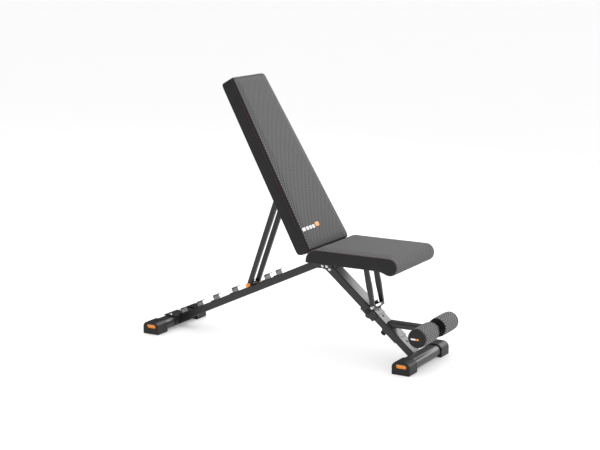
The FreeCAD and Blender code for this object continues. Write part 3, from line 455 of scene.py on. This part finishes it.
def make_backrest_pad():
    """The backrest's cover: knit face, a dark band of painted shade along its rounded front edge, dark sides
    and the seam.
    """
    us = edge_lines(0.0, BACK_LONG, 11.0)
    ys = edge_lines(-PAD_HALF, PAD_HALF, 11.0)
    ns = [0.0, 3.0, 6.0, STITCH_DEPTH, 16.0, 24.0, 32.0, 40.0, 48.0, 54.0, BACK_THICK - 1.6]
    points, quads = box_surface(us, ys, ns)
    verts = []
    cloth = []
    caps = []
    for u, y, n in points:
        spot = round_backrest(u, y, n)
        verts.append(back_point(spot.x, spot.y, spot.z))
        cloth.append((u * MM, y * MM, n * MM))
        inset = min(u, BACK_LONG - u, PAD_HALF - abs(y))
        if n == STITCH_DEPTH or n >= 48.0:
            caps.append(0.0)
        elif n < STITCH_DEPTH:
            caps.append(5.5 * MM if inset > 10.0 else 2.0 * MM)
        else:
            caps.append(2.2 * MM)
    faces = []
    slots = []
    for quad, kind in quads:
        faces.append(quad)
        inset = min(min(points[i][0], BACK_LONG - points[i][0], PAD_HALF - abs(points[i][1])) for i in quad)
        # Front quads within 6 mm of the edge take the dark side cloth: painted shade along the knit face's
        # rounded front edge.
        slots.append(0 if kind == "front" and inset >= 6.0 else 1)
    pad = mesh_object("backrest_cushion", verts, faces, [FACE, SIDE], slots, cloth)
    face_outwards(pad)
    inflate(pad, caps, 3.0)
    sink_seam(pad, [i for i, point in enumerate(points) if point[2] == STITCH_DEPTH], 1.0 * MM)
    subdivide(pad)
    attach(pad, "backrest")
    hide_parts("backrest_pad")
    return pad


def sink_seam(item, indices, depth):
    """Pull the seam's vertices in along their normals."""
    item.data.update()
    normals = [Vector(normal.vector) for normal in item.data.vertex_normals]
    for index in indices:
        item.data.vertices[index].co -= normals[index] * depth
    item.data.update()


STITCH_PITCH = 6.0
STITCH_FILL = 0.82
STITCH_R = 0.5


def stitch_line(name, path, outward, closed, body):
    """Separate short stitches along a path; outward gives each point's surface normal."""
    total = [0.0]
    count = len(path)
    for index in range(1, count + (1 if closed else 0)):
        total.append(total[-1] + (path[index % count] - path[index - 1]).length)

    def sample(distance):
        distance = distance % total[-1] if closed else clamp(distance, 0.0, total[-1] - 1e-9)
        low = max(i for i in range(len(total) - 1) if total[i] <= distance)
        share = (distance - total[low]) / max(1e-9, total[low + 1] - total[low])
        here, there = path[low], path[(low + 1) % count]
        normal = outward[low].lerp(outward[(low + 1) % count], share).normalized()
        return here.lerp(there, share), normal
    number = int(total[-1] / (STITCH_PITCH * MM))
    pitch = total[-1] / number
    verts = []
    faces = []
    sides = 6
    rings = [(-0.5, 0.25), (-0.42, 0.85), (-0.15, 1.0), (0.15, 1.0), (0.42, 0.85), (0.5, 0.25)]
    for stitch in range(number):
        middle = (stitch + 0.5) * pitch
        first = len(verts)
        for along, width in rings:
            centre, normal = sample(middle + along * pitch * STITCH_FILL)
            ahead, _ = sample(middle + along * pitch * STITCH_FILL + 0.2 * MM)
            heading = (ahead - centre).normalized()
            across = normal.cross(heading)
            lift = (0.35 - abs(along) * 0.9) * MM
            for side in range(sides):
                turn = 2 * math.pi * side / sides
                spoke = across * math.cos(turn) + normal * math.sin(turn)
                verts.append(centre + normal * lift + spoke * (STITCH_R * MM * width))
        for ring in range(len(rings) - 1):
            for side in range(sides):
                a = first + ring * sides + side
                b = first + ring * sides + (side + 1) % sides
                faces.append((a, b, b + sides, a + sides))
        faces.append(tuple(first + side for side in reversed(range(sides))))
        faces.append(tuple(first + (len(rings) - 1) * sides + side for side in range(sides)))
    item = mesh_object(name, verts, faces, [THREAD])
    face_outwards(item)
    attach(item, body)
    return item


def backrest_stitches():
    """The rust-coloured stitches around the pad, just behind its rounded front edge."""
    outline = []
    far_u = BACK_LONG - OUTLINE_R
    far_y = PAD_HALF - OUTLINE_R
    corners = ((far_u, far_y, 0.0), (OUTLINE_R, far_y, 90.0),
               (OUTLINE_R, -far_y, 180.0), (far_u, -far_y, 270.0))
    for cu, cy, start in corners:
        for angle in steps(start, start + 90.0, 15.0):
            turn = math.radians(angle)
            outline.append((cu, cy, math.cos(turn), math.sin(turn)))
    path = [back_point(cu + OUTLINE_R * du, cy + OUTLINE_R * dy, STITCH_DEPTH) for cu, cy, du, dy in outline]
    outward = [BACK_U * du + Vector((0.0, dy, 0.0)) for cu, cy, du, dy in outline]
    stitch_line("backrest_stitches", path, outward, True, "backrest")


# ---------------------------------------------------------------- seat pad

SEAT_REAR = 124.0
SEAT_TOP = 426.9
SEAT_FLOOR = 371.9
SEAT_REAR_R = 46.0
NOSE = (472.6, 392.9, 34.0)
SEAT_EDGE = 3.5
SEAM_INSET = 2.2
NOSE_TIP = -35.0
NOSE_FOOT = -112.0
FLOOR_FRONT = 420.0


def arc(cx, cz, radius, start, end, step):
    """Points on an arc, angles in degrees."""
    return [(cx + radius * math.cos(math.radians(a)), cz + radius * math.sin(math.radians(a)))
            for a in steps(start, end, step)]


def bezier(a, b, c, d, count):
    """Points on a cubic curve."""
    points = []
    for index in range(count + 1):
        t = index / count
        weights = ((1 - t) ** 3, 3 * t * (1 - t) ** 2, 3 * t * t * (1 - t), t ** 3)
        points.append(tuple(sum(w * p[axis] for w, p in zip(weights, (a, b, c, d))) for axis in (0, 1)))
    return points


def seat_curves():
    """Upper and lower outline of the seat from its rear foot to the nose, equally divided."""
    nose_x, nose_z, nose_r = NOSE
    upper = [(SEAT_REAR, SEAT_FLOOR)]
    upper += arc(SEAT_REAR + SEAT_REAR_R, SEAT_TOP - SEAT_REAR_R, SEAT_REAR_R, 180.0, 90.0, 12.0)
    upper += [(x, SEAT_TOP) for x in steps(SEAT_REAR + SEAT_REAR_R, nose_x, 9.0)[1:-1]]
    upper += arc(nose_x, nose_z, nose_r, 90.0, NOSE_TIP, 12.0)
    foot = math.radians(NOSE_FOOT)
    join = (nose_x + nose_r * math.cos(foot), nose_z + nose_r * math.sin(foot))
    slope = (-math.sin(foot), math.cos(foot))
    lower = [(x, SEAT_FLOOR) for x in steps(SEAT_REAR, FLOOR_FRONT, 9.0)]
    lower += bezier((FLOOR_FRONT, SEAT_FLOOR), (FLOOR_FRONT + 16.0, SEAT_FLOOR),
                    (join[0] - 14.0 * slope[0], join[1] - 14.0 * slope[1]), join, 6)[1:]
    lower += arc(nose_x, nose_z, nose_r, NOSE_FOOT, NOSE_TIP, 12.0)[1:]
    return resample(upper, 52), resample(lower, 52)


def resample(points, count):
    """The same polyline with count equal steps."""
    lengths = [0.0]
    for (xa, za), (xb, zb) in zip(points, points[1:]):
        lengths.append(lengths[-1] + math.hypot(xb - xa, zb - za))
    result = []
    for index in range(count + 1):
        want = lengths[-1] * index / count
        low = max(i for i in range(len(lengths) - 1) if lengths[i] <= want + 1e-9)
        share = clamp((want - lengths[low]) / (lengths[low + 1] - lengths[low]), 0.0, 1.0)
        result.append(tuple(points[low][axis] + (points[low + 1][axis] - points[low][axis]) * share
                            for axis in (0, 1)))
    return result


def make_seat_pad():
    """The seat's cover: knit over top, rear and nose, dark flat side panels, stitches."""
    upper, lower = seat_curves()
    loop = upper + list(reversed(lower[1:-1]))
    count = len(loop)
    inward = []
    for index in range(count):
        (xa, za), (xb, zb) = loop[index - 1], loop[(index + 1) % count]
        tangent = Vector((xb - xa, zb - za)).normalized()
        inward.append((tangent.y, -tangent.x))
    bend = [0.0, 35.0, 65.0, 90.0]
    stations = []
    for angle in reversed(bend):
        turn = math.radians(angle)
        stations.append((-PAD_HALF + SEAT_EDGE * (1 - math.sin(turn)), SEAT_EDGE * (1 - math.cos(turn))))
    stations += [(y, 0.0) for y in steps(-PAD_HALF + SEAT_EDGE, PAD_HALF - SEAT_EDGE, 10.0)[1:-1]]
    stations += [(-y, inset) for y, inset in reversed(stations[:len(bend)])]
    verts = []
    cloth = []
    caps = []
    length = 0.0
    distance = []
    for index in range(count):
        if index:
            length += math.hypot(loop[index][0] - loop[index - 1][0], loop[index][1] - loop[index - 1][1])
        distance.append(length)
    for number, (y, inset) in enumerate(stations):
        for index, (x, z) in enumerate(loop):
            verts.append(Vector((x + inward[index][0] * inset, y, z + inward[index][1] * inset)) * MM)
            cloth.append((distance[index] * MM, y * MM, 0.0))
            bottom = index > len(upper) - 1 and z < SEAT_FLOOR + 0.5
            on_seam = number in (0, len(stations) - 1)
            held = on_seam or bottom or index == 0
            near = min(number, len(stations) - 1 - number)
            caps.append(0.0 if held else (2.0 if near < 4 else 5.0) * MM)
    faces = []
    slots = []
    for number in range(len(stations) - 1):
        for index in range(count):
            a = number * count + index
            b = number * count + (index + 1) % count
            faces.append((a, b, b + count, a + count))
            below = index >= len(upper) + 6
            slots.append(1 if below else 0)
    rows = 7
    for number in (0, len(stations) - 1):
        y, inset = stations[number]
        grid = {}
        for column in range(len(upper)):
            top_index = number * count + column
            low_index = number * count + (count - column) % count
            for row in range(rows + 1):
                if row == 0:
                    grid[column, row] = low_index
                elif row == rows:
                    grid[column, row] = top_index
                elif column in (0, len(upper) - 1):
                    grid[column, row] = top_index
                else:
                    grid[column, row] = len(verts)
                    verts.append(verts[low_index].lerp(verts[top_index], row / rows))
                    cloth.append((verts[-1].x, verts[-1].z, 0.0))
                    caps.append(2.0 * MM)
        for column in range(len(upper) - 1):
            for row in range(rows):
                corners = [grid[place] for place in ((column, row), (column + 1, row),
                                                     (column + 1, row + 1), (column, row + 1))]
                unique = [corner for place, corner in enumerate(corners) if corner not in corners[:place]]
                if len(unique) >= 3:
                    faces.append(tuple(unique))
                    slots.append(1)
    pad = mesh_object("seat_cushion", verts, faces, [FACE, SIDE], slots, cloth)
    face_outwards(pad)
    inflate(pad, caps, 3.0)
    subdivide(pad)
    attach(pad, "frame")
    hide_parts("seat_pad")
    for number, name in ((0, "seat_stitches_right"), (len(stations) - 1, "seat_stitches_left")):
        side = -1.0 if number == 0 else 1.0
        ring = range(4, len(upper) - 1)
        path = []
        outward = []
        for index in ring:
            x, z = loop[index]
            seam_x = x + inward[index][0] * SEAM_INSET
            seam_z = z + inward[index][1] * SEAM_INSET
            path.append(Vector((seam_x, side * (PAD_HALF - 0.2), seam_z)) * MM)
            outward.append(Vector((0.0, side, 0.0)))
        stitch_line(name, path, outward, False, "frame")
    return pad


# ---------------------------------------------------------------- rollers

ROLLER_CELLS = 20
ROLLER_STRETCH = 0.65
ROLLER_EYE = 11.0


def make_roller(side, name):
    """Foam sleeve with its embossed knit cover, softly rounded at both ends."""
    low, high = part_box("roller_foam_" + name)
    centre = Vector(((low.x + high.x) / 2, 0.0, (low.z + high.z) / 2))
    near = min(abs(low.y), abs(high.y)) / MM
    far = max(abs(low.y), abs(high.y)) / MM
    radius = (high.z - low.z) / 2 / MM
    sides = 144
    rows = steps(near, far, 1.5)
    verts = []
    faces = []
    cloth = []
    cell = 2 * math.pi * radius / ROLLER_CELLS
    for y in rows:
        end = min(y - near, far - y)
        shoulder = clamp(end / 5.0, 0.0, 1.0)
        swell = 0.6 * math.sin(math.pi * (y - near) / (far - near))
        base = radius - 3.2 * (1 - math.sqrt(1 - (1 - shoulder) ** 2)) + swell
        for step in range(sides):
            turn = 2 * math.pi * step / sides
            along = y * ROLLER_STRETCH * math.pi / cell
            around = turn * ROLLER_CELLS / 2
            emboss = abs(math.sin(along + around)) * abs(math.sin(along - around))
            reach = base + 0.45 * math.sqrt(emboss) * shoulder - 0.3
            verts.append(centre + Vector((reach * math.cos(turn), side * y, reach * math.sin(turn))) * MM)
            cloth.append((y * ROLLER_STRETCH * MM, turn * radius * MM, 0.0))
    last = len(rows) - 1
    for number in range(last):
        for step in range(sides):
            a = number * sides + step
            b = number * sides + (step + 1) % sides
            faces.append((a, b, b + sides, a + sides))
    for number in (0, last):
        inner = len(verts)
        for step in range(sides):
            turn = 2 * math.pi * step / sides
            spoke = (ROLLER_EYE * math.cos(turn), side * rows[number], ROLLER_EYE * math.sin(turn))
            verts.append(centre + Vector(spoke) * MM)
            cloth.append((rows[number] * MM, turn * ROLLER_EYE * MM, 0.0))
        for step in range(sides):
            after = (step + 1) % sides
            faces.append((number * sides + step, number * sides + after, inner + after, inner + step))
    first_inner = (last + 1) * sides
    for step in range(sides):
        after = (step + 1) % sides
        second_inner = first_inner + sides
        faces.append((first_inner + step, first_inner + after, second_inner + after, second_inner + step))
    foam = mesh_object("roller_sleeve_" + name, verts, faces, [FOAM], None, cloth)
    face_outwards(foam)
    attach(foam, "roller_" + name)
    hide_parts("roller_foam_" + name)


# ---------------------------------------------------------------- plain marks

def rounded_bar(width, height, radius):
    """Outline of a bar with rounded corners."""
    points = []
    for side, level, start in ((1, -1, -90.0), (1, 1, 0.0), (-1, 1, 90.0), (-1, -1, 180.0)):
        for angle in steps(start, start + 90.0, 22.5):
            turn = math.radians(angle)
            points.append((side * (width / 2 - radius) + radius * math.cos(turn),
                           level * (height / 2 - radius) + radius * math.sin(turn)))
    return points


def printed_bar(name, place, width, height, mat, body):
    """A thin raised bar; place maps flat coordinates to a point and its normal."""
    outline = rounded_bar(width, height, height * 0.22)
    verts = []
    for lift in (-0.2, 0.35):
        for x, y in outline:
            spot, normal = place(x, y)
            verts.append(spot + normal * (lift * MM))
        spot, normal = place(0.0, 0.0)
        verts.append(spot + normal * (lift * MM))
    count = len(outline)
    faces = []
    for index in range(count):
        after = (index + 1) % count
        faces.append((index, after, count))
        faces.append((count + 1 + after, count + 1 + index, 2 * count + 1))
        faces.append((index, count + 1 + index, count + 1 + after, after))
    item = mesh_object(name, verts, faces, [mat], smooth=False)
    face_outwards(item)
    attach(item, body)


def make_marks(pad):
    """Plain white and orange bars on the backrest and on the right roller."""
    pad.data.update()
    tree = BVHTree.FromPolygons([vertex.co for vertex in pad.data.vertices],
                                [tuple(face.vertices) for face in pad.data.polygons])

    def on_pad(u0, y0):
        def place(x, y):
            start = back_point(u0 + y, y0 + x, -60.0)
            hit, _, _, _ = tree.ray_cast(start, BACK_N)
            return hit, -BACK_N
        return place
    for number, y in enumerate((-138.0, -115.0, -92.0, -69.0), start=1):
        name = "backrest_mark_white_%d" % number
        printed_bar(name, on_pad(85.0, y), 18.0, 14.0, PRINT, "backrest")
    printed_bar("backrest_mark_orange", on_pad(89.0, -38.0), 28.0, 17.0, ORANGE, "backrest")
    low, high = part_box("roller_discs_right")
    middle = Vector(((low.x + high.x) / 2, low.y, (low.z + high.z) / 2))

    def on_disc(x0):
        def place(x, y):
            return middle + Vector((x0 + x, 0.0, y - 4.5)) * MM, Vector((0.0, -1.0, 0.0))
        return place
    printed_bar("roller_mark_white", on_disc(-14.5), 20.0, 6.0, PRINT, "roller_right")
    printed_bar("roller_mark_orange", on_disc(2.5), 10.0, 6.5, ORANGE, "roller_right")


# ---------------------------------------------------------------- studio

WINDOW = (0.27, 0.87, 0.41)
WINDOW_LEVEL = 3.1
ROOM_LEVEL = 0.16
SKY_LEVEL = 1.07
FLOOR_HALF = 60.0
LIGHTS = (("overhead", (0.2, 0.3, 3.2), 3.0, 16.0), ("front", (3.4, -1.2, 2.2), 2.0, 14.0),
          ("behind", (0.9, 3.4, 2.3), 3.6, 60.0))
CAMERA_PLACE = (2.7021, -4.6737, 1.5545)
CAMERA_AZIMUTH = math.radians(29.94)
CAMERA_ELEVATION = math.radians(11.31)


def studio_world():
    """Even white surroundings; in reflections, a dim room with one bright window behind the bench."""
    world = bpy.data.worlds.new("studio")
    world.use_nodes = True
    world.cycles.sampling_method = "NONE"
    tree = world.node_tree
    direction = add(tree, "ShaderNodeTexCoord").outputs["Generated"]
    facing = add(tree, "ShaderNodeVectorMath", {0: direction, 1: WINDOW}, operation="DOT_PRODUCT")
    edge = calc(tree, "MULTIPLY_ADD", facing.outputs[1], 13.0, -11.6)
    window = calc(tree, "MINIMUM", calc(tree, "MAXIMUM", edge, 0.0), 1.0)
    mirrored = calc(tree, "MULTIPLY_ADD", window, WINDOW_LEVEL, ROOM_LEVEL)
    seen = add(tree, "ShaderNodeLightPath").outputs["Is Glossy Ray"]
    change = calc(tree, "MULTIPLY", seen, calc(tree, "SUBTRACT", mirrored, SKY_LEVEL))
    background = tree.nodes["Background"]
    background.inputs[0].default_value = (1.0, 1.0, 1.0, 1.0)
    tree.links.new(calc(tree, "ADD", change, SKY_LEVEL), background.inputs[1])
    return world


def make_studio():
    """Pale seamless floor, soft lights and the camera."""
    corners = [(x * FLOOR_HALF, y * FLOOR_HALF, 0) for x, y in ((-1, -1), (1, -1), (1, 1), (-1, 1))]
    floor = mesh_object("studio_floor", corners, [(0, 1, 2, 3)], [studio_floor("pale_floor")])
    floor.location.z = -0.0005
    bpy.context.scene.world = studio_world()
    for name, spot, size, power in LIGHTS:
        light = bpy.data.lights.new(name, "AREA")
        light.size = size
        light.energy = power
        light.use_shadow = False
        lamp = bpy.data.objects.new(name, light)
        bpy.context.scene.collection.objects.link(lamp)
        lamp.location = spot
        lamp.visible_camera = False
        aim = Vector((0.0, 0.0, 0.35)) - Vector(spot)
        lamp.rotation_euler = aim.to_track_quat("-Z", "Y").to_euler()
    level = math.cos(CAMERA_ELEVATION)
    forward = Vector((-math.sin(CAMERA_AZIMUTH) * level, math.cos(CAMERA_AZIMUTH) * level,
                      -math.sin(CAMERA_ELEVATION)))
    camera = bpy.data.objects.new("camera", bpy.data.cameras.new("camera"))
    bpy.context.scene.collection.objects.link(camera)
    camera.location = CAMERA_PLACE
    camera.rotation_euler = forward.to_track_quat("-Z", "Y").to_euler()
    camera.data.lens = 85.75
    camera.data.sensor_width = 36.0
    camera.data.clip_end = 200.0
    bpy.context.scene.camera = camera
    bpy.context.scene.view_settings.view_transform = "Standard"


dress_cad_nodes()
backrest = make_backrest_pad()
backrest_stitches()
make_seat_pad()
make_roller(-1, "right")
make_roller(1, "left")
make_marks(backrest)
make_studio()
